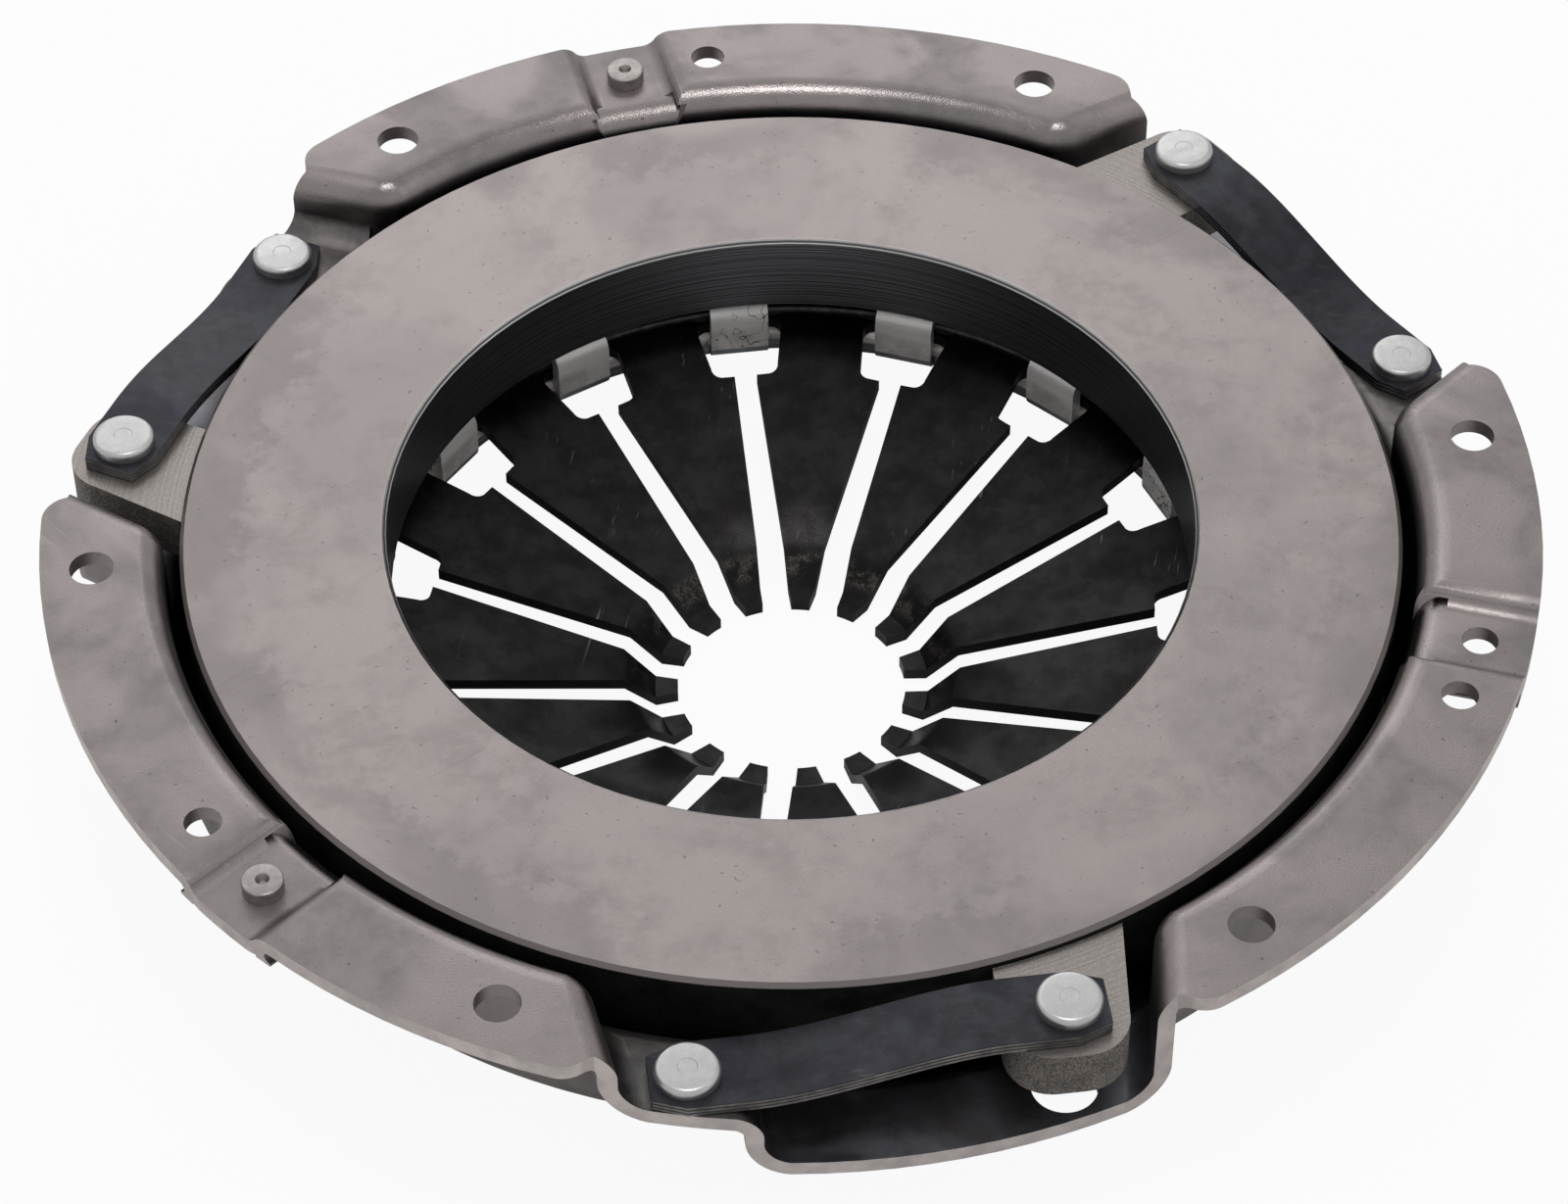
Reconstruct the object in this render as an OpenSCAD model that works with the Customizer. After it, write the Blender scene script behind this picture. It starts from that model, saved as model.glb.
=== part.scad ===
/* [Cover pressing] */
// Outer radius of the bolted flange
flange_r = 141.3; // [139:0.1:146]
// Thickness of the pressed cover sheet
sheet_t = 3.2; // [2.6:0.1:3.6]
// Inner radius of the cover wall
wall_r = 118.5; // [117.5:0.1:120]
// Depth from the flange face to the outside of the back
cover_h = 38.7; // [38:0.1:42]
// Bend radius from flange to wall, on the face that shows
flange_bend_r = 6; // [4.5:0.1:7.5]
// Bend radius from wall to back, on the outside
back_bend_r = 8.5; // [6:0.1:8.7]
// Radius of the central opening between the tabs
opening_r = 83.4; // [82.5:0.1:84]

/* [Flange segments and strap pockets] */
// Half width of a flange segment, square to its middle line
segment_half_w = 85; // [82:0.1:87]
// Rounding of the outer corners of a flange segment
segment_corner_r = 6; // [2:0.1:9]
// Slant of a segment's end wall, against the line square to its middle
end_slant = 22; // [17:0.5:26]
// Distance of an end wall's face from the axis
end_wall_dist = 64.3; // [62:0.1:67]
// Plan rounding between the round wall and an end wall
end_corner_r = 10; // [8:0.1:13]
// Outer radius of the rims between the segments
pocket_r = 137; // [135:0.1:138]
// Depth of the ledge that carries the fixed end of a strap
ledge_depth = 13.1; // [12:0.1:14.5]
// Depth of the pocket floor below the plate lug
floor_depth = 25; // [24:0.1:25]
// Bend radius at the inner edge of ledge and floor
pocket_bend_r = 4.2; // [3.7:0.1:4.3]
// Offset of the step between ledge and floor from the pocket's middle line
step_x = 22.5; // [20:0.1:24]
// Bend radius of that step and of the feet of the end walls
step_r = 5.4; // [4:0.1:5.6]
// Hole in the pocket floor that lets a riveting tool through
access_d = 12; // [10:0.1:14]

/* [Flange holes] */
// Pitch circle of bolts, dowels and balance holes
bolt_pcd = 263.2; // [261:0.1:265]
// Clearance hole for an M8 bolt
bolt_d = 8.4; // [8.2:0.1:9]
// Dowel hole in the middle of each segment
dowel_d = 6.9; // [6:0.1:8]
// Angle from dowel to balance hole
balance_angle = 7.6; // [7:0.1:9]
// Hole for a balance rivet
balance_d = 6.8; // [6.6:0.1:7.4]
// Depth of the pressed dip round a balance hole
dip_depth = 3.1; // [2.6:0.1:3.8]
// Width of the flat floor of that dip
dip_w = 11.6; // [10.5:0.1:13]
// Bend radius along the edges of that dip
dip_edge_r = 4.4; // [4:0.1:5]
// Bend radius along the foot of that dip
dip_foot_r = 3.4; // [2.8:0.1:4]

/* [Tabs and fulcrum] */
// Number of spring fingers and of cover tabs
fingers = 15; // [15:1:15]
// Width of a cover tab
tab_w = 11.8; // [9:0.1:13]
// Thickness of the tabs, which are drawn a little thinner than the sheet
tab_t = 2.6; // [2.2:0.1:3.2]
// Radius of the inner face of the tabs
tab_r = 80.5; // [80:0.1:81]
// Share of a turn that a tab is curled over the ring, in degrees
tab_curl = 112; // [95:1:125]
// Wire diameter of the fulcrum ring
wire_d = 3; // [2.6:0.1:3.6]
// Height of the fulcrum bead on the inside of the back
bead_h = 2.6; // [1.8:0.1:2.8]
// Crown radius of that bead
bead_r = 2.9; // [2.2:0.1:3.2]

/* [Diaphragm spring] */
// Outer radius of the spring
spring_r = 103; // [102:0.1:105]
// Thickness of the spring
spring_t = 2.4; // [2:0.1:3]
// Cone angle of the unloaded spring
cone_angle = 15; // [13.5:0.1:16.5]
// Radius of the inner edge of the windows
window_r = 70.9; // [68:0.1:73]
// Width of the parallel roots of the fingers
neck_w = 17; // [16:0.1:18]
// Rounding of the window corners
window_corner_r = 2.2; // [1:0.1:3]
// Slot width where a slot leaves its window
slot_w = 4.5; // [3.5:0.1:5.5]
// Slot width between the finger tips
tip_slot_w = 5.8; // [5:0.1:6.4]
// Radius of the circle of finger tips
tip_r = 22.4; // [21:0.1:25]
// Radius at which the fingers are bent flat
tip_bend_r = 33; // [32:0.1:35]
// Length of that bend, measured towards the axis
tip_bend_l = 6.2; // [5:0.1:7]
// Drop of the flat tips below the cone at the bend
tip_drop = 4.8; // [3.5:0.1:5]

/* [Pressure plate] */
// Outer radius of the friction face
face_r = 115.5; // [113:0.1:116]
// Bore radius of the friction face
bore_r = 76.6; // [75.5:0.1:77.5]
// Thickness of the friction ring
plate_t = 17; // [16:0.1:18]
// Chamfer at the edges of the friction face
face_chamfer = 0.8; // [0.4:0.1:1.2]
// Radius of the ridge that the spring presses on
ridge_r = 99; // [97:0.1:100]
// Height of that ridge
ridge_h = 6.3; // [5.2:0.1:6.6]
// Width of that ridge at its root
ridge_w = 8; // [6:0.1:9]
// Depth of the relief over the cover tabs
relief_h = 1.6; // [1.4:0.1:2.5]
// Width of the lip left at the bore
lip_w = 2.6; // [1.5:0.1:2.8]
// Step from the friction face down to the lugs
lug_step = 1.9; // [1.5:0.1:3]
// Thickness of a lug
lug_t = 10; // [8:0.1:10.5]
// Distance from the rivet to the outer edge of its lug
lug_edge = 9.5; // [8.5:0.1:10]
// Rounding of the outer corners of a lug
lug_corner_r = 8.5; // [6:0.1:9]

/* [Drive straps and rivets] */
// Distance of the strap's centre line from the axis
strap_dist = 125.4; // [124.5:0.1:126]
// Offset of the cover rivet from the pocket's middle line
cover_rivet_x = 34.5; // [33.5:0.1:35.5]
// Offset of the plate rivet on the other side
plate_rivet_x = 31.8; // [30.5:0.1:32.5]
// Thickness of one strap leaf
leaf_t = 0.8; // [0.6:0.05:0.9]
// Width of a leaf
leaf_w = 14.6; // [13.5:0.1:16]
// Leaf length beyond each rivet
leaf_end = 6.8; // [6.2:0.1:7.4]
// Length of the clipped corners of a leaf
leaf_clip_l = 6; // [3:0.1:6.2]
// Depth of the clipped corners of a leaf
leaf_clip_w = 2.4; // [1:0.1:3.5]
// Flat stretch of a leaf on the inner side of each rivet
leaf_flat = 10; // [8:0.1:12]
// Shank diameter of the strap rivets
rivet_d = 7.9; // [7:0.1:8.5]
// Head diameter of the strap rivets
rivet_head_d = 11.8; // [11:0.1:12]
// Head height of the strap rivets
rivet_head_h = 2.3; // [1.8:0.1:3.1]
// Height of the closed lower heads
rivet_foot_h = 2.2; // [1.5:0.1:3]
// Head diameter of a balance rivet
weight_head_d = 7.6; // [7.5:0.1:9]
// Head height of a balance rivet
weight_head_h = 2.8; // [2.2:0.1:3]

/* [Hidden] */
$fn = 96;

// Three segments with their middle lines at these angles, pockets 60 degrees clockwise of them
sections = 3;
section_angle = 360 / sections;
pocket_angle = section_angle / 2;
// Far enough out, up or down to pass everything
far = 200;
// Overlap of solids that are joined
lap = 0.5;
// Air between pieces that lie on each other
seat_gap = 0.05;
// Air between a shank and its hole, within the cover and between cover and plate
fit_gap = 0.05;
loose_gap = 0.3;
// Radius of the pitch circle
bolt_r = bolt_pcd / 2;

// Levels of the pressing
back_z = sheet_t - cover_h;
ledge_z = -ledge_depth;
floor_z = -floor_depth;

// Corner between the round wall and an end wall, seen from above
end_dir = [cos(end_slant), sin(end_slant)];
end_normal = [sin(end_slant), -cos(end_slant)];
corner_turn = acos((end_wall_dist + end_corner_r) / (wall_r + end_corner_r));
corner_angle = 90 + end_slant - corner_turn;
corner_centre = (wall_r + end_corner_r) * [cos(corner_angle), sin(corner_angle)];

// Fulcrum of the spring, and the height of its two faces at any radius
fulcrum_r = tab_r + tab_t + loose_gap + wire_d / 2;
spring_slope = tan(cone_angle);
spring_v = spring_t / cos(cone_angle);
spring_low_z = back_z + bead_h + seat_gap;
function spring_top(r) = spring_low_z + spring_v + (r - fulcrum_r) * spring_slope;
wire_z = spring_top(fulcrum_r) + (wire_d / 2 + seat_gap) / cos(cone_angle);
tip_z = spring_top(tip_bend_r) - (tip_bend_l * spring_slope + tip_drop);

// Levels of the plate, which stands on the spring through its ridge
ridge_z = spring_top(ridge_r) + loose_gap;
plate_z = ridge_z + ridge_h;
face_z = plate_z + plate_t;
lug_z = face_z - lug_step;

// Straps: a leaf is bent from the ledge up to the lug
leaf_pitch = leaf_t + seat_gap;
stack_h = 3 * leaf_pitch + seat_gap;
leaf_rise = lug_z - ledge_z;
bend_from = cover_rivet_x - leaf_flat;
bend_to = -plate_rivet_x + leaf_flat;
bend_steps = 24;

function unit(a) = [cos(a), sin(a)];
function ease(t) = t * t * (3 - 2 * t);

// A wedge from the centre between two directions
module wedge(a, b) {
    polygon([[0, 0], far * unit(a), far * unit((a + b) / 2), far * unit(b)]);
}

// Part of a flat ring between two directions
module ring_part(outer, inner, a, b) {
    intersection() {
        difference() {
            circle(outer);
            circle(inner);
        }
        wedge(a, b);
    }
}

module box_between(low, high) {
    translate(low)
        cube(high - low);
}

// The sheet is what lies between two skins: each skin is the solid on the far side of one
// face of the sheet, and t is how far that skin lies behind the face that shows.
// Where two rounded faces run into each other, one is larger by this much
slack = 0.05;
deep = -50;

// Room above a sheet that steps down at a wall, in the coordinates (inset into the wall, height)
module wall_room(top, r_top, level, r_foot, t) {
    difference() {
        union() {
            translate([-far, level - t])
                square([far + t, 1 - level + t]);
            difference() {
                translate([0, top - r_top])
                    square([r_top, r_top + 1 - top]);
                translate([r_top, top - r_top])
                    circle(r_top - t + slack);
            }
        }
        difference() {
            translate([-r_foot, level - t - 1])
                square([r_foot + t + 1, r_foot + t + 1]);
            translate([-r_foot, level + r_foot])
                circle(r_foot + t + slack);
        }
    }
}

// A section (inset, height) carried along the straight end wall of a segment
module along_end() {
    start = corner_centre + end_corner_r * end_normal - 40 * end_dir;
    translate([start[0], start[1], 0])
        rotate([0, 0, end_slant])
            rotate([90, 0, 90])
                linear_extrude(100)
                    children();
}

// Rounded column at the plan corner of a segment. Its rounding starts a little higher than that
// of the walls beside it, so that the three roundings don't all end in one point.
corner_ease = 0.3;
module corner_column(t) {
    r = flange_bend_r - corner_ease - t + slack;
    side = end_corner_r - t + slack;
    rotate_extrude() {
        translate([0, deep])
            square([side - r, slack - t - deep]);
        translate([0, deep])
            square([side, slack - t - r - deep]);
        translate([side - r, slack - t - r])
            intersection() {
                circle(r);
                square(r);
            }
    }
}

// Room that a segment's end leaves above the pocket at that level
module end_room(level, t) {
    along_end()
        wall_room(0, flange_bend_r, level, step_r, t);
}

// Room outside the rounded plan corner of a segment
module corner_room(level, t) {
    translate([corner_centre[0], corner_centre[1], 0])
        difference() {
            translate([0, 0, level - t])
                linear_extrude(1 + t - level)
                    polygon([
                        [0, 0], 30 * unit(corner_angle + 180),
                        30 * unit(corner_angle + 180 + corner_turn / 2), 30 * end_normal
                    ]);
            corner_column(t);
        }
}

// Room over the rounded inner edge of a pocket, between two directions
module edge_room(level, t, a, b) {
    rotate([0, 0, a])
        rotate_extrude(angle = b - a)
            difference() {
                translate([wall_r - 2, level - pocket_bend_r])
                    square([pocket_bend_r + 2, pocket_bend_r + 1]);
                translate([wall_r + pocket_bend_r, level - pocket_bend_r])
                    circle(pocket_bend_r - t + slack);
            }
}

// Room of one pocket with its middle line along +Y: ledge at +X, floor at -X
edge_start = 90 - (pocket_angle - (90 - corner_angle));
step_direction = acos(step_x / wall_r);
module pocket_room(t) {
    intersection() {
        rotate([0, 0, pocket_angle])
            end_room(floor_z, t);
        union() {
            translate([step_x, far, 0])
                rotate([90, 0, 0])
                    linear_extrude(far)
                        wall_room(ledge_z, step_r, floor_z, step_r, t);
            mirror([1, 0, 0])
                rotate([0, 0, pocket_angle])
                    end_room(ledge_z, t);
        }
    }
    rotate([0, 0, pocket_angle])
        corner_room(floor_z, t);
    mirror([1, 0, 0])
        rotate([0, 0, pocket_angle])
            corner_room(ledge_z, t);
    edge_room(floor_z, t, step_direction, 180 - edge_start + 1);
    edge_room(ledge_z, t, edge_start - 1, step_direction + 1);
}

// Room of the pressed dip round a balance hole, and the bend at its inner end
dip_turn = acos(1 - dip_depth / (dip_edge_r + dip_foot_r));
dip_side_w = (dip_edge_r + dip_foot_r) * sin(dip_turn);
dip_half_w = dip_w / 2 + dip_side_w;
module dip_side_room(t) {
    x1 = dip_w / 2;
    x2 = x1 + dip_foot_r * sin(dip_turn);
    translate([-1, -dip_depth - t])
        square([x1 + 1, dip_depth + t + 1]);
    intersection() {
        translate([x1, dip_foot_r - dip_depth])
            circle(dip_foot_r + t);
        translate([x1 - 1, -dip_depth - t - 1])
            square([x2 - x1 + 1 + 2 * slack, dip_foot_r + t + 1]);
    }
    translate([x1 - 1, dip_foot_r - dip_depth])
        square([x2 - x1 + 1, dip_depth - dip_foot_r + 1]);
    difference() {
        translate([x2, -dip_depth - t])
            square([dip_half_w - x2, dip_depth + t + 1]);
        translate([dip_half_w, -dip_edge_r])
            circle(dip_edge_r - t + slack);
    }
}

module dip_room(t) {
    low = -flange_bend_r - dip_depth;
    rotate([0, 0, balance_angle]) {
        translate([0, far, 0])
            rotate([90, 0, 0])
                linear_extrude(far)
                    for (side = [0, 1])
                        mirror([side, 0])
                            dip_side_room(t);
        intersection() {
            rotate([0, 0, 80])
                rotate_extrude(angle = 20)
                    difference() {
                        translate([wall_r - 2, low])
                            square([flange_bend_r + 2, flange_bend_r + 1]);
                        translate([wall_r + flange_bend_r, low])
                            circle(flange_bend_r - t + slack);
                    }
            translate([0, far, 0])
                rotate([90, 0, 0])
                    linear_extrude(far)
                        polygon([
                            [-dip_w / 2 - t, low], [dip_w / 2 + t, low],
                            [dip_half_w, 1], [-dip_half_w, 1]
                        ]);
        }
    }
}

// Section of the round bowl behind one of the two skins, with the cavity taken out
module skin_section(t, start, reach) {
    bend_x = wall_r + sheet_t - back_bend_r;
    bend_z = back_bend_r - cover_h;
    bend_r = back_bend_r - sheet_t + t;
    difference() {
        translate([start, deep - t])
            square([reach - start, -deep]);
        translate([0, bend_z - bend_r])
            square([bend_x, far]);
        translate([0, bend_z])
            square([wall_r + t, far]);
        translate([bend_x, bend_z])
            intersection() {
                circle(bend_r);
                translate([0, -bend_r])
                    square(bend_r);
            }
        translate([wall_r + t - 1, -flange_bend_r])
            difference() {
                square([flange_bend_r - t + 1, far]);
                translate([flange_bend_r - t + 1, 0])
                    circle(flange_bend_r - t);
            }
    }
}

// One skin of the whole pressing with its pockets and dips
module skin(t, start, reach) {
    difference() {
        union() {
            rotate_extrude()
                skin_section(t, start, reach);
        }
        for (k = [0:sections - 1])
            rotate([0, 0, k * section_angle - pocket_angle])
                pocket_room(t);
        for (k = [0:sections - 1])
            rotate([0, 0, k * section_angle])
                dip_room(t);
    }
}

// Plan of the trimmed outline of one flange segment, with its rounded outer corners
module segment_outline() {
    x = segment_half_w - segment_corner_r;
    reach = flange_r - segment_corner_r;
    y = sqrt(reach * reach - x * x);
    a = atan2(y, x);
    intersection() {
        circle(flange_r);
        wedge(a, 180 - a);
    }
    for (side = [0, 1])
        mirror([side, 0]) {
            polygon([
                [0, 0], [segment_half_w, 0], [segment_half_w, y], [x, y],
                flange_r * unit(a), (flange_r - 2) * unit(a + 2)
            ]);
            translate([x, y])
                circle(segment_corner_r);
        }
}

// Plan of the trimmed outline of the whole cover
module cover_outline() {
    circle(pocket_r);
    for (k = [0:sections - 1])
        rotate(k * section_angle)
            segment_outline();
}

// Holes for bolts, dowels and balance rivets in the flange, and those in the pockets
module flange_holes() {
    translate([0, 0, deep / 2]) {
        for (a = [60, 120])
            rotate([0, 0, a])
                translate([bolt_r, 0, 0])
                    cylinder(h = -deep, d = bolt_d);
        translate([0, bolt_r, 0])
            cylinder(h = -deep, d = dowel_d);
        rotate([0, 0, 90 + balance_angle])
            translate([bolt_r, 0, 0])
                cylinder(h = -deep, d = balance_d);
        rotate([0, 0, -pocket_angle])
            translate([0, strap_dist, deep / 4]) {
                translate([cover_rivet_x, 0, 0])
                    cylinder(h = -deep, d = rivet_d + 2 * fit_gap);
                translate([-plate_rivet_x, 0, 0])
                    cylinder(h = -deep, d = access_d);
            }
    }
}

// Fulcrum bead on the inside of the back
bead_centre = [fulcrum_r + bead_r * sin(cone_angle), back_z + bead_h - bead_r * cos(cone_angle)];
module bead() {
    rotate_extrude()
        translate(bead_centre)
            circle(bead_r);
}

// Section of a tab: out of the back, up through its window and curled over the ring
tab_root_r = 3.6;
module tab_section() {
    inner = wire_d / 2 + loose_gap;
    translate([tab_r + tab_root_r, tab_root_r - cover_h])
        ring_part(tab_root_r, tab_root_r - tab_t, 180, 270);
    translate([tab_r, tab_root_r - cover_h])
        square([tab_t, wire_z + cover_h - tab_root_r]);
    translate([fulcrum_r, wire_z])
        ring_part(inner + tab_t, inner, 180 - tab_curl, 180);
}

module tabs() {
    for (k = [0:fingers - 1])
        rotate([0, 0, 90 + k * 360 / fingers])
            rotate([90, 0, 0])
                translate([0, 0, -tab_w / 2])
                    linear_extrude(tab_w)
                        tab_section();
}

module cover() {
    color([0.56, 0.54, 0.52]) {
        difference() {
            intersection() {
                difference() {
                    skin(0, opening_r, flange_r + 10);
                    skin(sheet_t, 0, flange_r + 20);
                }
                translate([0, 0, deep])
                    linear_extrude(1 - deep)
                        cover_outline();
            }
            for (k = [0:sections - 1])
                rotate([0, 0, k * section_angle])
                    flange_holes();
        }
        bead();
        tabs();
    }
}

// Plan of the gaps between two fingers, along +X: a tapered slot and its window
window_end_r = tab_r + tab_t + 2 * loose_gap;
function neck_edge(x) = (x - neck_w / 2 * sin(180 / fingers)) * tan(180 / fingers)
    - neck_w / 2 * cos(180 / fingers);
module finger_gap() {
    low = window_r;
    high = window_end_r;
    c = window_corner_r;
    polygon([
        [tip_r - c, -tip_slot_w / 2], [low + c, -slot_w / 2],
        [low + c, slot_w / 2], [tip_r - c, tip_slot_w / 2]
    ]);
    for (side = [0, 1])
        mirror([0, side]) {
            polygon([
                [low, 0], [low, neck_edge(low) - c], [low + c, neck_edge(low + c)],
                [high - c, neck_edge(high - c)], [high, neck_edge(high) - c], [high, 0]
            ]);
            translate([low + c, neck_edge(low + c) - c])
                circle(c);
            translate([high - c, neck_edge(high - c) - c])
                circle(c);
        }
}

module diaphragm_spring() {
    color([0.13, 0.13, 0.14])
        difference() {
            rotate_extrude()
                polygon([
                    [0, tip_z], [tip_bend_r - tip_bend_l, tip_z],
                    [tip_bend_r, spring_top(tip_bend_r)], [spring_r, spring_top(spring_r)],
                    [spring_r, spring_top(spring_r) - spring_v],
                    [tip_bend_r, spring_top(tip_bend_r) - spring_v],
                    [tip_bend_r - tip_bend_l, tip_z - spring_v], [0, tip_z - spring_v]
                ]);
            translate([0, 0, -far]) {
                cylinder(h = far, r = tip_r);
                linear_extrude(far)
                    for (k = [0:fingers - 1])
                        rotate(90 + k * 360 / fingers)
                            finger_gap();
            }
        }
}

module fulcrum_ring() {
    color([0.2, 0.2, 0.21])
        rotate_extrude()
            translate([fulcrum_r, wire_z])
                circle(wire_d / 2);
}

// Section of the cast ring: friction face, bore, relief over the tabs, ridge and rim
module plate_section() {
    c = face_chamfer;
    lip_r = bore_r + lip_w;
    crown = ridge_w / 4;
    polygon([
        [bore_r + c, face_z], [face_r - c, face_z], [face_r, face_z - c],
        [face_r, plate_z + c], [face_r - c, plate_z],
        [ridge_r + ridge_w / 2, plate_z], [ridge_r + crown, ridge_z + crown],
        [ridge_r - crown, ridge_z + crown], [ridge_r - ridge_w / 2, plate_z + relief_h],
        [lip_r + relief_h, plate_z + relief_h], [lip_r, plate_z],
        [bore_r, plate_z], [bore_r, face_z - c]
    ]);
    translate([ridge_r, ridge_z + crown])
        circle(crown);
}

// Plan of one lug in its pocket's frame, its rivet at -X
module lug_plan() {
    x0 = -plate_rivet_x - lug_edge - 1;
    x1 = -plate_rivet_x + lug_edge + 2;
    y1 = strap_dist + lug_edge;
    r = lug_corner_r;
    polygon([
        [x0 - 2.6, sqrt(face_r * face_r - x0 * x0) - 4], [x1, bore_r + 20],
        [x1, y1 - r], [x1 - r, y1], [x0 + r, y1], [x0, y1 - r]
    ]);
    for (x = [x0 + r, x1 - r])
        translate([x, y1 - r])
            circle(r);
}

module pressure_plate() {
    color([0.6, 0.57, 0.56])
        difference() {
            union() {
                rotate_extrude()
                    plate_section();
                for (k = [0:sections - 1])
                    rotate([0, 0, k * section_angle - pocket_angle])
                        difference() {
                            translate([0, 0, lug_z - lug_t])
                                linear_extrude(lug_t)
                                    lug_plan();
                            translate([0, 0, lug_z - lug_t - lap])
                                cylinder(h = lug_t + 2 * lap, r = face_r - 2 * lap);
                        }
            }
            for (k = [0:sections - 1])
                rotate([0, 0, k * section_angle - pocket_angle])
                    translate([-plate_rivet_x, strap_dist, lug_z - far / 2])
                        cylinder(h = far, d = rivet_d + 2 * fit_gap);
        }
}

// One strap leaf in its pocket's frame; level 0 lies on ledge and lug, 2 on top
function leaf_height(x) = ledge_z + leaf_rise * ease(min(1, max(0, (bend_from - x) / (bend_from - bend_to))));
module leaf_outline() {
    x0 = -plate_rivet_x - leaf_end;
    x1 = cover_rivet_x + leaf_end;
    h = leaf_w / 2;
    polygon([
        [x0, leaf_clip_w - h], [x0 + leaf_clip_l, -h], [x1 - leaf_clip_l, -h], [x1, leaf_clip_w - h],
        [x1, h - leaf_clip_w], [x1 - leaf_clip_l, h], [x0 + leaf_clip_l, h], [x0, h - leaf_clip_w]
    ]);
}

module leaf(level) {
    x0 = -plate_rivet_x - leaf_end;
    x1 = cover_rivet_x + leaf_end;
    bend_x = [for (i = [0:bend_steps]) bend_to + (bend_from - bend_to) * i / bend_steps];
    xs = concat([x0], bend_x, [x1]);
    low = level * leaf_pitch + seat_gap;
    translate([0, strap_dist, 0])
        difference() {
            intersection() {
                translate([0, leaf_w, 0])
                    rotate([90, 0, 0])
                        linear_extrude(2 * leaf_w)
                            polygon(concat(
                                [for (x = xs) [x, leaf_height(x) + low]],
                                [for (i = [len(xs) - 1:-1:0]) [xs[i], leaf_height(xs[i]) + low + leaf_t]]
                            ));
                translate([0, 0, -far / 2])
                    linear_extrude(far)
                        leaf_outline();
            }
            translate([cover_rivet_x, 0, -far / 2])
                cylinder(h = far, d = rivet_d + 2 * fit_gap);
            translate([-plate_rivet_x, 0, -far / 2])
                cylinder(h = far, d = rivet_d + 2 * loose_gap);
        }
}

module strap_leaf(strap, level) {
    color([0.2, 0.2, 0.23])
        rotate([0, 0, (strap - 1) * section_angle - pocket_angle])
            leaf(level);
}

// Strap rivet standing with its head's seat at z = 0; grip is the thickness that it holds
module strap_rivet(grip) {
    edge = 1.1;
    foot_edge = 0.8;
    foot_d = rivet_head_d - 1.2;
    color([0.72, 0.71, 0.7])
        rotate_extrude() {
            square([rivet_head_d / 2 - edge, rivet_head_h]);
            square([rivet_head_d / 2, rivet_head_h - edge]);
            translate([rivet_head_d / 2 - edge, rivet_head_h - edge])
                intersection() {
                    circle(edge);
                    square(edge);
                }
            translate([0, -grip])
                square([rivet_d / 2, grip]);
            translate([0, -grip - rivet_foot_h])
                polygon([
                    [0, 0], [foot_d / 2 - foot_edge, 0], [foot_d / 2, foot_edge],
                    [foot_d / 2, rivet_foot_h], [0, rivet_foot_h]
                ]);
        }
}

module cover_rivet(strap) {
    rotate([0, 0, (strap - 1) * section_angle - pocket_angle])
        translate([cover_rivet_x, strap_dist, ledge_z + stack_h])
            strap_rivet(stack_h + sheet_t + seat_gap);
}

module plate_rivet(strap) {
    rotate([0, 0, (strap - 1) * section_angle - pocket_angle])
        translate([-plate_rivet_x, strap_dist, lug_z + stack_h])
            strap_rivet(stack_h + lug_t + seat_gap);
}

// Solid rivet in a balance hole, closed below the flange, with a dimple in its head
module balance_rivet(segment) {
    shank_r = balance_d / 2 - fit_gap;
    edge = 0.4;
    dimple = 1.3;
    foot_r = weight_head_d / 2 + 1;
    foot_h = 1.6;
    grip = sheet_t + 2 * seat_gap;
    color([0.66, 0.64, 0.62])
        rotate([0, 0, 90 + balance_angle + (segment - 1) * section_angle])
            translate([bolt_r, 0, -dip_depth + seat_gap])
                rotate_extrude()
                    polygon([
                        [0, -grip - foot_h], [foot_r - foot_h / 2, -grip - foot_h],
                        [foot_r, -grip - foot_h / 2], [foot_r, -grip], [shank_r, -grip], [shank_r, 0],
                        [weight_head_d / 2, 0], [weight_head_d / 2, weight_head_h - edge],
                        [weight_head_d / 2 - edge, weight_head_h], [dimple, weight_head_h],
                        [dimple / 2, weight_head_h - dimple], [0, weight_head_h - dimple]
                    ]);
}

cover();
diaphragm_spring();
fulcrum_ring();
pressure_plate();
strap_leaf(1, 2);  // strap_1_top_leaf
strap_leaf(1, 1);  // strap_1_middle_leaf
strap_leaf(1, 0);  // strap_1_bottom_leaf
strap_leaf(2, 2);  // strap_2_top_leaf
strap_leaf(2, 1);  // strap_2_middle_leaf
strap_leaf(2, 0);  // strap_2_bottom_leaf
strap_leaf(3, 2);  // strap_3_top_leaf
strap_leaf(3, 1);  // strap_3_middle_leaf
strap_leaf(3, 0);  // strap_3_bottom_leaf
cover_rivet(1);  // cover_rivet_1
cover_rivet(2);  // cover_rivet_2
cover_rivet(3);  // cover_rivet_3
plate_rivet(1);  // plate_rivet_1
plate_rivet(2);  // plate_rivet_2
plate_rivet(3);  // plate_rivet_3
balance_rivet(1);  // balance_rivet_1
balance_rivet(2);  // balance_rivet_2
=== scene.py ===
# %% [markdown]
# # Clutch cover with its pressure plate
# A clutch cover is a steel pressing that is bolted to the flywheel. It carries a cast iron
# pressure plate, a slotted disc spring that pushes the plate, and three packs of leaf straps that
# keep the plate turning with the cover. The solids of all 21 parts come in as a fixed frame, in
# metres, so nothing has to be fitted: this lesson gives them edges, finishes, lamps and a camera.

import math

import bmesh
import bpy
from mathutils import Matrix, Vector


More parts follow.
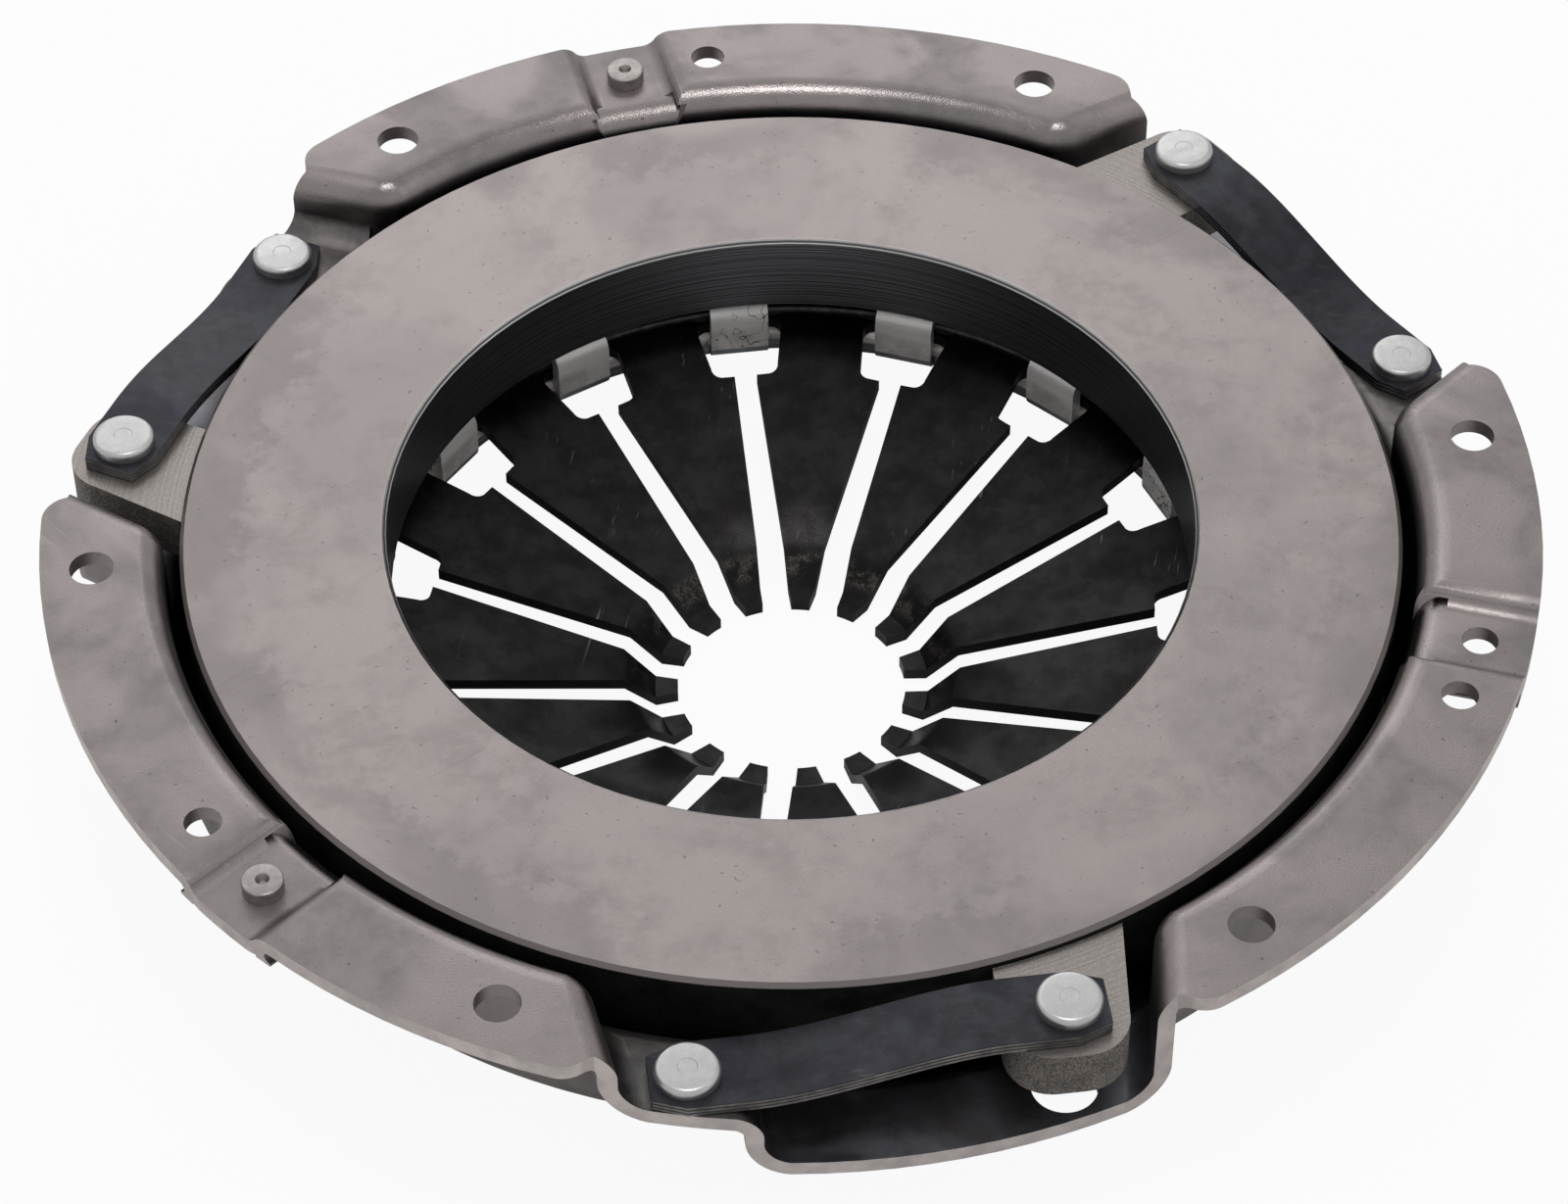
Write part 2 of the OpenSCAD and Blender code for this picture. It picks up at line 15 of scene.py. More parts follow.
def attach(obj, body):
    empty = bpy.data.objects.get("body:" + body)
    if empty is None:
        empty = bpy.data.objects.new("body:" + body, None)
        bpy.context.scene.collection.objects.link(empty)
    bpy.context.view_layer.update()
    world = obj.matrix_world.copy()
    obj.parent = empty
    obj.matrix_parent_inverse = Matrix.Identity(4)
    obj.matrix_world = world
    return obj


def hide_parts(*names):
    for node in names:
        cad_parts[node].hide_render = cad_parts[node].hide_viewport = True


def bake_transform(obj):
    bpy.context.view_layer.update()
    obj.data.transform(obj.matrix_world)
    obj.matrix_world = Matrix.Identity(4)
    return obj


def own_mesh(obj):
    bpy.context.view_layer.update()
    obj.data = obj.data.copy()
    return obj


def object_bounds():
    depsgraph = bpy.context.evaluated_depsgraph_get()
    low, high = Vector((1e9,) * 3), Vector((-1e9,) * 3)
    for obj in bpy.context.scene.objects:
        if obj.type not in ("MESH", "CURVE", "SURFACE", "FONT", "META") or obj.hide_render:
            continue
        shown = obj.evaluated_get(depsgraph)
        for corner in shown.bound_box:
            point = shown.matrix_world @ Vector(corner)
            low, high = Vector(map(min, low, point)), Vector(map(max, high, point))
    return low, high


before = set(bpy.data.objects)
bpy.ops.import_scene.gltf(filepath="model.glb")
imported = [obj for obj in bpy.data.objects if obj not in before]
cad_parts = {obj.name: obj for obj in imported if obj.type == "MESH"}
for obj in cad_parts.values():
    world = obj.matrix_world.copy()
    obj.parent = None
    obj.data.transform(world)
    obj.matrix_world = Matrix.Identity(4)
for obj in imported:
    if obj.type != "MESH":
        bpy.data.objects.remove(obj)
cad_box = [list(corner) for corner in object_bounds()]
print("parts in the frame:", len(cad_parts), "box", cad_box)

# %% [markdown]
# All sizes below are written in millimetres, as on a drawing. One helper turns them into metres.

# %% Millimetres
MM = 0.001


def mm(*values):
    """Millimetres to metres: one number, or a vector of several."""
    return values[0] * MM if len(values) == 1 else Vector(values) * MM


print("flange radius", round(max(abs(v) for v in cad_box[1][:2]) / MM, 1), "mm")

# %% [markdown]
# ## Camera
# The photograph was taken from above the rim, about 46 degrees down, with a long lens. The
# camera's place and its three directions were worked out from the round holes and rings, which
# show as ellipses. A long lens keeps the near rim and the far rim almost the same size.

# %% Camera
CAMERA_PLACE = (-81.73, -636.54, 642.53)
CAMERA_RIGHT = Vector((0.9915, -0.13003, -0.00465))
CAMERA_UP = Vector((0.09711, 0.71569, 0.69164))
CAMERA_BACK = Vector((-0.0866, -0.68621, 0.72223))
SENSOR_WIDTH = 36
FOCAL_LENGTH = 110.3
NEAREST, FARTHEST = 50, 20000

camera_data = bpy.data.cameras.new("camera")
camera_data.sensor_width = SENSOR_WIDTH
camera_data.lens = FOCAL_LENGTH
camera_data.clip_start = mm(NEAREST)
camera_data.clip_end = mm(FARTHEST)
camera = bpy.data.objects.new("camera", camera_data)
bpy.context.scene.collection.objects.link(camera)
turn = Matrix((CAMERA_RIGHT, CAMERA_UP, CAMERA_BACK)).transposed().to_4x4()
camera.matrix_world = Matrix.Translation(mm(*CAMERA_PLACE)) @ turn
bpy.context.scene.camera = camera
print("camera", round(camera.location.length, 3), "m from the middle")

# %% [markdown]
# ## Plain colours
# Steel looks grey because it mirrors what is round it, so the view transform has to leave the
# colours alone. Standard does that: a colour shows about as it is written.

# %% Colour management
bpy.context.scene.view_settings.view_transform = "Standard"
print("view transform", bpy.context.scene.view_settings.view_transform)

# %% [markdown]
# ## Small helpers for node trees
# Every finish is a tree of shader nodes. These helpers add a node, set its sockets and link
# others into it in one line, so that each recipe below can be read from top to bottom.


# %% Helpers for node trees
def put(socket, value):
    """Sets a socket to a value, or links another socket into it."""
    if isinstance(value, bpy.types.NodeSocket):
        socket.id_data.links.new(value, socket)
    else:
        socket.default_value = value


def node(tree, kind, settings=None, **sockets):
    """Adds a node of that kind, with its settings and its named inputs."""
    made = tree.nodes.new(kind)
    for key, value in (settings or {}).items():
        setattr(made, key, value)
    for key, value in sockets.items():
        put(made.inputs[key.replace("_", " ")], value)
    return made


def calc(tree, operation, a, b=0.0, clamp=False):
    """One step of arithmetic, and its result."""
    made = node(tree, "ShaderNodeMath", {"operation": operation, "use_clamp": clamp})
    put(made.inputs[0], a)
    put(made.inputs[1], b)
    return made.outputs[0]


def between(tree, value, low, high, to_low=0.0, to_high=1.0):
    """A soft switch: to_low below low, to_high above high, and a smooth ramp between."""
    made = node(tree, "ShaderNodeMapRange", {"interpolation_type": "SMOOTHSTEP"})
    for index, number in enumerate((value, low, high, to_low, to_high)):
        put(made.inputs[index], number)
    return made.outputs[0]


def mixed(tree, share, a, b):
    """Colour a where share is 0, and colour b where it is 1."""
    made = node(tree, "ShaderNodeMix", {"data_type": "RGBA"})
    put(made.inputs[0], share)
    put(made.inputs[6], a)
    put(made.inputs[7], b)
    return made.outputs[2]


def grey(level, red=0.0, blue=0.0):
    """A grey whose red and blue differ from its green by those shares."""
    return (level * (1 + red), level, level * (1 + blue), 1)


print("helpers ready, a warm grey is", grey(0.5, 0.1, -0.1))

# %% [markdown]
# ## Shared effects
# The same few marks show on nearly every metal part: cloudy smudges from oil and hands, a mottled
# skin, fine grain, pin-sized pits and thin curls of dirt. They are one node group with named
# inputs, so that a material only says how large its marks are. The scales of its noise are in
# waves to the metre.

# %% Smudges
MOTTLES_TO_A_BLOTCH = 4
GRAIN_SCALE = 2600
PIT_SCALE = 900
CURL_SCALE = 330


def new_group(name, inputs, outputs):
    """An empty node group, with vector inputs where no number is given, and its two end nodes."""
    group = bpy.data.node_groups.new(name, "ShaderNodeTree")
    for label, number in inputs:
        kind = "NodeSocketVector" if number is None else "NodeSocketFloat"
        socket = group.interface.new_socket(label, in_out="INPUT", socket_type=kind)
        if number is not None:
            socket.default_value = number
    for label in outputs:
        group.interface.new_socket(label, in_out="OUTPUT", socket_type="NodeSocketFloat")
    return group, group.nodes.new("NodeGroupInput").outputs, group.nodes.new("NodeGroupOutput").inputs


def noise(tree, vector, scale, detail=2.0, roughness=0.5, distortion=0.0):
    """Cloudy noise round 0.5."""
    made = node(tree, "ShaderNodeTexNoise", Vector=vector, Scale=scale, Detail=detail)
    put(made.inputs["Roughness"], roughness)
    put(made.inputs["Distortion"], distortion)
    return made.outputs["Fac"]


def smudge_group():
    """Large soft blotches, mottling, fine grain, pits and thin curls, each from 0 to 1."""
    outputs = ["Blotch", "Mottle", "Grain", "Pits", "Curls"]
    group, given, result = new_group("smudges", [("Vector", None), ("Size", 60.0)], outputs)
    place, size = given["Vector"], given["Size"]
    large = noise(group, place, size, detail=4, roughness=0.55, distortion=0.7)
    put(result["Blotch"], between(group, large, 0.4, 0.62))
    finer = calc(group, "MULTIPLY", size, MOTTLES_TO_A_BLOTCH)
    medium = noise(group, place, finer, detail=5, roughness=0.66)
    put(result["Mottle"], between(group, medium, 0.34, 0.66))
    fine = noise(group, place, GRAIN_SCALE, detail=2, roughness=0.6)
    put(result["Grain"], between(group, fine, 0.3, 0.7))
    spots = noise(group, place, PIT_SCALE, detail=1)
    put(result["Pits"], between(group, spots, 0.73, 0.78))
    hills = calc(group, "SUBTRACT", noise(group, place, CURL_SCALE, detail=1), 0.5)
    line = between(group, calc(group, "ABSOLUTE", hills), 0.006, 0.016, 1, 0)
    put(result["Curls"], calc(group, "MULTIPLY", line, between(group, large, 0.5, 0.55)))
    return group


smudges = smudge_group()
print("group", smudges.name, "with", len(smudges.nodes), "nodes")

# %% [markdown]
# Hairline scratches are noise that is stretched fiftyfold along one direction, with only its
# highest ridges kept, and only in some patches. Turning the coordinates first gives each material
# its own direction.

# %% Scratches
SCRATCH_STRETCH = 50
PATCH_SCALE = 45


def scratch_group():
    """Thin straight scratches: 1 on a scratch and 0 beside it."""
    inputs = [("Vector", None), ("Turn", 0.6), ("Fineness", 900.0), ("Share", 0.3)]
    group, given, result = new_group("scratches", inputs, ["Mask"])
    turned = node(group, "ShaderNodeVectorRotate", {"rotation_type": "Z_AXIS"}, Vector=given["Vector"])
    put(turned.inputs["Angle"], given["Turn"])
    stretched = node(group, "ShaderNodeMapping", {"vector_type": "POINT"}, Vector=turned.outputs[0])
    put(stretched.inputs["Scale"], (1 / SCRATCH_STRETCH, 1, 1))
    ridges = noise(group, stretched.outputs[0], given["Fineness"], detail=2, roughness=0.55)
    patches = noise(group, given["Vector"], PATCH_SCALE, detail=1)
    here = between(group, patches, calc(group, "SUBTRACT", 0.75, given["Share"]), 0.8)
    put(result["Mask"], calc(group, "MULTIPLY", between(group, ridges, 0.64, 0.72), here))
    return group


scratches = scratch_group()
print("group", scratches.name, "with", len(scratches.nodes), "nodes")

# %% [markdown]
# A lathe or a grinding wheel leaves circles round the axis. The group takes the distance from the
# axis plus the height, so that the same grooves run over a flat face and down a bore, and feeds
# that one number to noise in one dimension: an uneven row of grooves, as on the real part.

# %% Turned grooves
HEIGHT_SHARE = 1.37


def across_axis(tree, vector):
    """What is left of a vector when its part along the axis is taken away."""
    flat = node(tree, "ShaderNodeVectorMath", {"operation": "MULTIPLY"})
    put(flat.inputs[0], vector)
    put(flat.inputs[1], (1, 1, 0))
    return flat.outputs[0]


def groove_group():
    """Grooves round the axis as a height from 0 to 1, and the distance from the axis."""
    inputs = [("Vector", None), ("Grooves", 1500.0)]
    group, given, result = new_group("turned_grooves", inputs, ["Height", "Radius"])
    length = node(group, "ShaderNodeVectorMath", {"operation": "LENGTH"})
    put(length.inputs[0], across_axis(group, given["Vector"]))
    radius = length.outputs["Value"]
    height = node(group, "ShaderNodeSeparateXYZ", Vector=given["Vector"]).outputs["Z"]
    along = calc(group, "ADD", radius, calc(group, "MULTIPLY", height, HEIGHT_SHARE))
    made = node(group, "ShaderNodeTexNoise", {"noise_dimensions": "1D"}, W=along, Detail=3.0)
    put(made.inputs["Scale"], given["Grooves"])
    put(result["Height"], between(group, made.outputs["Fac"], 0.3, 0.7))
    put(result["Radius"], radius)
    return group


turned_grooves = groove_group()
print("group", turned_grooves.name, "with", len(turned_grooves.nodes), "nodes")

# %% [markdown]
# Which way a surface faces often says how it was made or how it is lit: a cut edge is bright, a
# floor gets a painted bluish reflection, an inward wall gets painted shade. This group compares
# the surface's normal with the axis and with the direction away from the axis.


# %% Facing
def facing_group():
    """How much a surface faces up the axis, and away from the axis, each from -1 to 1."""
    group, given, result = new_group("facing", [("Vector", None), ("Normal", None)], ["Up", "Out"])
    put(result["Up"], node(group, "ShaderNodeSeparateXYZ", Vector=given["Normal"]).outputs["Z"])
    away = node(group, "ShaderNodeVectorMath", {"operation": "NORMALIZE"})
    put(away.inputs[0], across_axis(group, given["Vector"]))
    dot = node(group, "ShaderNodeVectorMath", {"operation": "DOT_PRODUCT"})
    put(dot.inputs[0], away.outputs[0])
    put(dot.inputs[1], given["Normal"])
    put(result["Out"], dot.outputs["Value"])
    return group


facing = facing_group()
print("group", facing.name, "with", len(facing.nodes), "nodes")

# %% [markdown]
# ## Materials
# Each material starts the same way: a principled shader that reads the object's own coordinates.
# A finish then shows in some places only. Such a place is found by a radius or a height, written
# as an edge and its softness in millimetres, or by the way that the surface faces.


# %% Start of a material
class Finish:
    """A material being written: its node tree, its shader and the coordinates that it reads."""

    def __init__(self, name):
        self.material = bpy.data.materials.new(name)
        self.material.use_nodes = True
        self.tree = self.material.node_tree
        self.shader = self.tree.nodes["Principled BSDF"]
        self.set(Metallic=1.0)
        coordinates = node(self.tree, "ShaderNodeTexCoord").outputs
        self.place = coordinates["Object"]
        self.z = node(self.tree, "ShaderNodeSeparateXYZ", Vector=self.place).outputs["Z"]
        way = node(self.tree, "ShaderNodeGroup", {"node_tree": facing}, Vector=self.place)
        put(way.inputs["Normal"], coordinates["Normal"])
        self.up = way.outputs["Up"]
        self.out = way.outputs["Out"]

    def use(self, group, **sockets):
        """Places a shared group, with this material's coordinates and values."""
        made = node(self.tree, "ShaderNodeGroup", {"node_tree": group}, Vector=self.place, **sockets)
        return made.outputs

    def set(self, **sockets):
        """Sets inputs of the shader by their names."""
        for key, value in sockets.items():
            put(self.shader.inputs[key.replace("_", " ")], value)

    def bump(self, height, depth, strength):
        """Raises the surface by height times depth, in millimetres."""
        made = node(self.tree, "ShaderNodeBump", Height=height, Strength=strength, Distance=mm(depth))
        self.set(Normal=made.outputs[0])

    def times(self, first, *others):
        """The product of masks: 1 where all of them are 1."""
        for other in others:
            first = calc(self.tree, "MULTIPLY", first, other)
        return first

    def plus(self, a, b):
        """The sum of two values."""
        return calc(self.tree, "ADD", a, b)

    def most(self, a, b):
        """The larger of two masks: 1 where either of them is 1."""
        return calc(self.tree, "MAXIMUM", a, b)

    def ramp(self, value, low, high, to_low=0.0, to_high=1.0):
        """A smooth ramp from to_low at low to to_high at high."""
        return between(self.tree, value, low, high, to_low, to_high)

    def above(self, value, edge, soft=0.1):
        """1 where a length is above an edge, given in millimetres."""
        return self.ramp(value, mm(edge - soft), mm(edge + soft))

    def below(self, value, edge, soft=0.1):
        """1 where a length is below an edge, given in millimetres."""
        return self.ramp(value, mm(edge - soft), mm(edge + soft), 1, 0)

    def side(self, low, high):
        """1 on the sides of a sheet, and 0 where it faces up or down."""
        return self.ramp(calc(self.tree, "ABSOLUTE", self.up), low, high, 1, 0)

    def mix(self, share, a, b):
        """Colour a where share is 0, and colour b where it is 1."""
        return mixed(self.tree, share, a, b)

    def lay(self, under, mask, share, over):
        """Lays a colour over another where the mask is 1, as strongly as that share."""
        return self.mix(self.times(mask, share), under, over)


print("finish ready, with", len([name for name in dir(Finish) if name[0] != "_"]), "helpers")

# %% [markdown]
# The cover is raw pressed steel: a warm mid grey with cloudy darker places, a fine grain and a
# few scratches. Inside its pockets it is darkened by mottled painted shade, its floors carry a
# painted bluish reflection, and its inner wall beside the plate is painted black for its shade.
# The cut edge of the flange is bare metal, painted paler still as the highlight of its rounding.
# The tabs that are curled over the wire ring were drawn bright by the tool, with a painted
# highlight along the crest of each curl, and thin curls of dirt run over them.

# %% Pressed sheet steel
POCKET_SHADE = (-6.75, 4.25)
FLOOR_SHADE = (-18.25, 3.75)
WALL_INNER, WALL_OUTER = (115, 0.1), (119.2, 0.1)
WALL_LEVEL = (-6, 3)
FLANGE_EDGE = (135.8, 0.1)
TAB_OUTER, TAB_FOOT, TAB_CREST = (88, 1), (-35.4, 0.4), (-30.35, 1.15)
BEND_LEVEL, BEND_OUTER = (-7, 2), (124.5, 1)


def rolled_skin(f, marks, lines):
    """The open face of the sheet, with its clouds, grain, pits and scratches."""
    cloudy, rubbed = grey(0.2, 0.09, 0.0), grey(0.31, 0.12, -0.02)
    grain, pit, scratch = grey(0.18, 0.1, -0.01), grey(0.07, 0.1, -0.05), grey(0.5, 0.08, -0.03)
    skin = f.mix(marks["Blotch"], grey(0.28, 0.115, -0.02), cloudy)
    skin = f.lay(skin, marks["Mottle"], 0.5, rubbed)
    skin = f.lay(skin, marks["Grain"], 0.3, grain)
    skin = f.lay(skin, marks["Pits"], 0.6, pit)
    return f.lay(skin, lines["Mask"], 0.5, scratch)


def pocket_skin(f, marks, radius, skin):
    """Adds the mottled painted shade of the pockets, the painted bluish reflection on their floors and
    the painted black shade of the inner wall.
    """
    inside = f.most(f.ramp(f.up, 0.0, 0.4), f.ramp(f.out, -0.5, -0.1, 1, 0))
    # painted shade: below the flange, the pockets are darkened in mottled greys
    painted_shade = f.mix(marks["Mottle"], grey(0.1, 0.03, 0.02), grey(0.2, 0.08, -0.04))
    skin = f.lay(skin, f.times(inside, f.below(f.z, *POCKET_SHADE)), 0.9, painted_shade)
    # painted reflection: the deep floors get a bluish tint, with brown mottles
    floor = f.mix(marks["Blotch"], grey(0.2, 0.0, 0.12), grey(0.34, -0.03, 0.16))
    floor = f.lay(floor, f.times(marks["Mottle"], marks["Mottle"]), 0.7, grey(0.16, 0.2, -0.15))
    skin = f.mix(f.times(inside, f.below(f.z, *FLOOR_SHADE)), skin, floor)
    # painted shade: the inward wall beside the plate is painted nearly black
    wall = f.times(f.above(radius, *WALL_INNER), f.below(radius, *WALL_OUTER))
    wall = f.times(wall, f.below(f.z, *WALL_LEVEL))
    return f.mix(f.times(inside, wall), skin, grey(0.012))


def drawn_skin_with_highlight(f, marks):
    """The bright skin of the tabs, with a painted highlight at the crest of the curl."""
    drawn = f.mix(marks["Mottle"], grey(0.8, 0.05, -0.03), grey(0.5, 0.05, -0.03))
    # painted highlight: the crest of the curl is painted nearly white
    drawn = f.mix(f.above(f.z, *TAB_CREST), drawn, grey(0.92, 0.03, -0.02))
    return f.lay(drawn, marks["Curls"], 0.9, grey(0.04))


def pressed_steel():
    """The cover's finish."""
    f = Finish("pressed_sheet_steel")
    marks = f.use(smudges, Size=30.0)
    lines = f.use(scratches, Turn=0.9, Fineness=700.0, Share=0.24)
    radius = f.use(turned_grooves)["Radius"]
    skin = pocket_skin(f, marks, radius, rolled_skin(f, marks, lines))
    # The cut edge is bare sheared metal, and its pale colour is also a painted highlight of its small
    # rounding
    cut = f.times(f.side(0.3, 0.6), f.above(radius, *FLANGE_EDGE), f.ramp(f.out, 0.4, 0.7))
    bright = f.mix(marks["Mottle"], grey(0.62, 0.1, -0.04), grey(0.46, 0.09, -0.03))
    skin = f.mix(cut, skin, bright)
    on_tab = f.times(f.below(radius, *TAB_OUTER), f.above(f.z, *TAB_FOOT))
    f.set(Base_Color=f.mix(on_tab, skin, drawn_skin_with_highlight(f, marks)))
    f.set(Metallic=f.ramp(on_tab, 0, 1, 1, 0.35))
    slanting = f.times(f.ramp(f.up, 0.45, 0.65), f.ramp(f.up, 0.93, 0.985, 1, 0))
    worn = f.times(f.above(f.z, *BEND_LEVEL), slanting, f.below(radius, *BEND_OUTER))
    f.set(Roughness=f.ramp(worn, 0, 1, f.ramp(marks["Blotch"], 0, 1, 0.34, 0.44), 0.25))
    f.bump(f.plus(marks["Grain"], f.times(marks["Mottle"], 0.9)), depth=0.03, strength=0.5)
    return f.material


steel_finish = pressed_steel()
print("material", steel_finish.name)

# %% [markdown]
# The plate is one casting with several finishes. Its friction face is ground, pale and fine, with
# clouds, rubbed places and pits. The bore was turned in fine grooves; it is painted dark and bluish
# for its shade and reflections, its grooves are paler as painted highlights, and two painted
# highlight lines run round its chamfer. The tops of the lugs were faced on the lathe. The sides
# of the lugs are as they came out of the sand, and so is the rim, which is painted nearly black
# for the shade of the cover. Radius, height and facing tell them apart.

# %% Skins of the casting
FACE_LEVEL = (-3.2, 0.05)
LUG_LEVEL, LUG_INNER = (-5.2, 0.1), (115.6, 0.1)
EDGE_LEVEL, BORE_EDGE = (-3.9, 0.1), (80, 1)
BORE_OUTER = (77.7, 0.1)
RIM_OUTER, RIM_LEVEL = (116, 0.3), (-3.8, 0.2)
UPPER_LINE = (-3.22, 0.06)
LOWER_LINE_FROM, LOWER_LINE_TO = (-3.75, 0.05), (-3.55, 0.05)
WEAR_FROM, WEAR_WANDER = (106.5, 2.5), 7


def ground_skin(f, marks, rubs, lines, radius):
    """The friction face, more worn towards its rim."""
    face = f.mix(marks["Blotch"], grey(0.34, 0.115, -0.03), grey(0.29, 0.1, -0.02))
    wandering = f.plus(radius, f.times(rubs["Mottle"], mm(WEAR_WANDER)))
    rim_wear = f.times(f.above(wandering, *WEAR_FROM), marks["Blotch"])
    face = f.lay(face, rim_wear, 0.55, grey(0.2, 0.11, -0.02))
    face = f.lay(face, f.times(rubs["Blotch"], rubs["Mottle"]), 0.45, grey(0.2, 0.11, -0.03))
    face = f.lay(face, marks["Grain"], 0.22, grey(0.27, 0.1, -0.02))
    face = f.lay(face, marks["Pits"], 0.55, grey(0.12, 0.08, -0.02))
    return f.lay(face, lines["Mask"], 0.3, grey(0.15, 0.08, -0.03))


def sand_skin(f, marks, rubs, radius):
    """The skin that the sand mould left, with the rim painted nearly black as the shade of the cover."""
    sand = f.mix(marks["Grain"], grey(0.09, 0.09, -0.07), grey(0.3, 0.1, -0.08))
    sand = f.lay(sand, rubs["Mottle"], 0.4, grey(0.06, 0.08, -0.06))
    # painted shade: the rim under the cover is painted nearly black
    rim = f.mix(marks["Mottle"], grey(0.012), grey(0.03, 0.05, -0.05))
    return f.mix(f.times(f.below(radius, *RIM_OUTER), f.below(f.z, *RIM_LEVEL)), sand, rim)


def lug_skin(f, marks, turned):
    """The faced tops of the lugs."""
    lug = f.lay(grey(0.36, 0.09, -0.06), marks["Grain"], 0.5, grey(0.18, 0.1, -0.06))
    return f.lay(lug, turned["Height"], 0.4, grey(0.17, 0.09, -0.05))


def edge_skin(f, radius):
    """The chamfers of the face: two painted highlight lines at the bore, and plain metal at the rim."""
    # painted highlights: two bright lines round the chamfer at the bore
    lower_line = f.times(f.above(f.z, *LOWER_LINE_FROM), f.below(f.z, *LOWER_LINE_TO))
    bright = f.most(f.above(f.z, *UPPER_LINE), lower_line)
    inner = f.mix(bright, grey(0.09, 0.0, 0.05), grey(0.44, 0.02, -0.02))
    return f.mix(f.below(radius, *BORE_EDGE), grey(0.18, 0.1, -0.03), inner)


print("face above", FACE_LEVEL[0], "mm, lugs above", LUG_LEVEL[0], "mm, bore within", BORE_OUTER[0], "mm")

# %% [markdown]
# One material then picks the skin by place. The bump does the same: the sand skin is rough, the
# machined ones are nearly smooth, and the bore also has its grooves.


# %% Machined and rough cast iron
def cast_iron():
    """The pressure plate's finish."""
    f = Finish("machined_cast_iron")
    marks = f.use(smudges, Size=21.0)
    rubs = f.use(smudges, Size=48.0)
    lines = f.use(scratches, Turn=-0.5, Fineness=1100.0, Share=0.25)
    turned = f.use(turned_grooves, Grooves=2300.0)
    radius = turned["Radius"]
    faces_up = f.ramp(f.up, 0.9, 0.98)
    is_face = f.times(faces_up, f.above(f.z, *FACE_LEVEL))
    is_lug_top = f.times(faces_up, f.above(f.z, *LUG_LEVEL), f.above(radius, *LUG_INNER))
    is_bore = f.below(radius, *BORE_OUTER)
    is_edge = f.above(f.z, *EDGE_LEVEL)
    # painted shade and reflection: the bore is dark and bluish, and its paler grooves are painted
    # highlights
    bore = f.mix(turned["Height"], grey(0.06, -0.03, 0.08), grey(0.34, -0.01, 0.05))
    colour = f.mix(is_bore, sand_skin(f, marks, rubs, radius), bore)
    colour = f.mix(is_edge, colour, edge_skin(f, radius))
    colour = f.mix(is_lug_top, colour, lug_skin(f, marks, turned))
    f.set(Base_Color=f.mix(is_face, colour, ground_skin(f, marks, rubs, lines, radius)))
    machined = f.most(f.most(is_face, is_lug_top), f.most(is_bore, is_edge))
    f.set(Roughness=f.ramp(machined, 0, 1, 0.7, f.ramp(is_bore, 0, 1, 0.4, 0.3)))
    rough = f.times(marks["Grain"], f.ramp(machined, 0, 1, 6, 0.7))
    f.bump(f.plus(rough, f.times(turned["Height"], is_bore, 0.6)), depth=0.03, strength=0.6)
    return f.material


iron_finish = cast_iron()
print("material", iron_finish.name)

# %% [markdown]
# The disc spring is hardened steel with a black oil finish. It mirrors the lamps softly, it is
# scratched where it was handled, and each finger has a worn brownish patch where it is bent. The
# sides of the fingers are painted a little paler, as a painted highlight of their coined edges.

# %% Black spring steel
WORN_INNER, WORN_OUTER = (28.2, 0.7), (31.4, 0.8)


def spring_steel():
    """The disc spring's finish."""
    f = Finish("spring_steel_black")
    marks = f.use(smudges, Size=40.0)
    lines = f.use(scratches, Turn=1.9, Fineness=900.0, Share=0.2)
    strokes = f.use(scratches, Turn=1.2, Fineness=1500.0, Share=0.6)
    radius = f.use(turned_grooves)["Radius"]
    colour = f.mix(marks["Mottle"], grey(0.017, 0.06, -0.03), grey(0.029, 0.05, 0.0))
    bend = f.times(f.above(radius, *WORN_INNER), f.below(radius, *WORN_OUTER), f.ramp(f.up, 0.5, 0.7))
    worn = f.times(bend, f.ramp(marks["Mottle"], 0.3, 0.8), f.ramp(marks["Grain"], 0.2, 0.7))
    worn = f.times(worn, f.ramp(strokes["Mask"], 0, 1, 0.35, 1))
    colour = f.mix(worn, colour, grey(0.2, 0.1, -0.1))
    colour = f.lay(colour, lines["Mask"], 0.6, grey(0.3, 0.0, 0.05))
    # painted highlight: the sides of the fingers are a little paler, for their coined edges
    colour = f.lay(colour, f.side(0.2, 0.75), 0.6, grey(0.035, 0.05, -0.03))
    f.set(Base_Color=colour, Roughness=f.ramp(marks["Blotch"], 0, 1, 0.34, 0.48))
    f.bump(marks["Grain"], depth=0.03, strength=0.4)
    return f.material


spring_finish = spring_steel()
print("material", spring_finish.name)

# %% [markdown]
# The strap leaves are spring steel with the dark blue of its heat treatment, crossed by paler
# rubbed streaks. Their sheared edges are bare, so a pack of three shows as three pale lines. The
# wire ring is painted nearly black, for the shade under the tabs where it lies.


# %% Blued leaves and wire
def blued_steel():
    """The strap leaves' finish."""
    f = Finish("blued_strap_steel")
    marks = f.use(smudges, Size=60.0)
    lines = f.use(scratches, Turn=0.3, Fineness=600.0, Share=0.3)
    colour = f.mix(marks["Blotch"], grey(0.04, -0.02, 0.22), grey(0.06, -0.02, 0.15))
    colour = f.lay(colour, marks["Mottle"], 0.5, grey(0.027, 0.0, 0.12))
    colour = f.lay(colour, lines["Mask"], 0.25, grey(0.18, 0.0, 0.05))
    sheared = f.mix(marks["Mottle"], grey(0.24, 0.08, -0.08), grey(0.12, 0.06, -0.06))
    colour = f.mix(f.side(0.25, 0.6), colour, sheared)
    f.set(Base_Color=colour, Roughness=f.ramp(marks["Blotch"], 0, 1, 0.32, 0.42))
    f.bump(marks["Grain"], depth=0.02, strength=0.3)
    return f.material


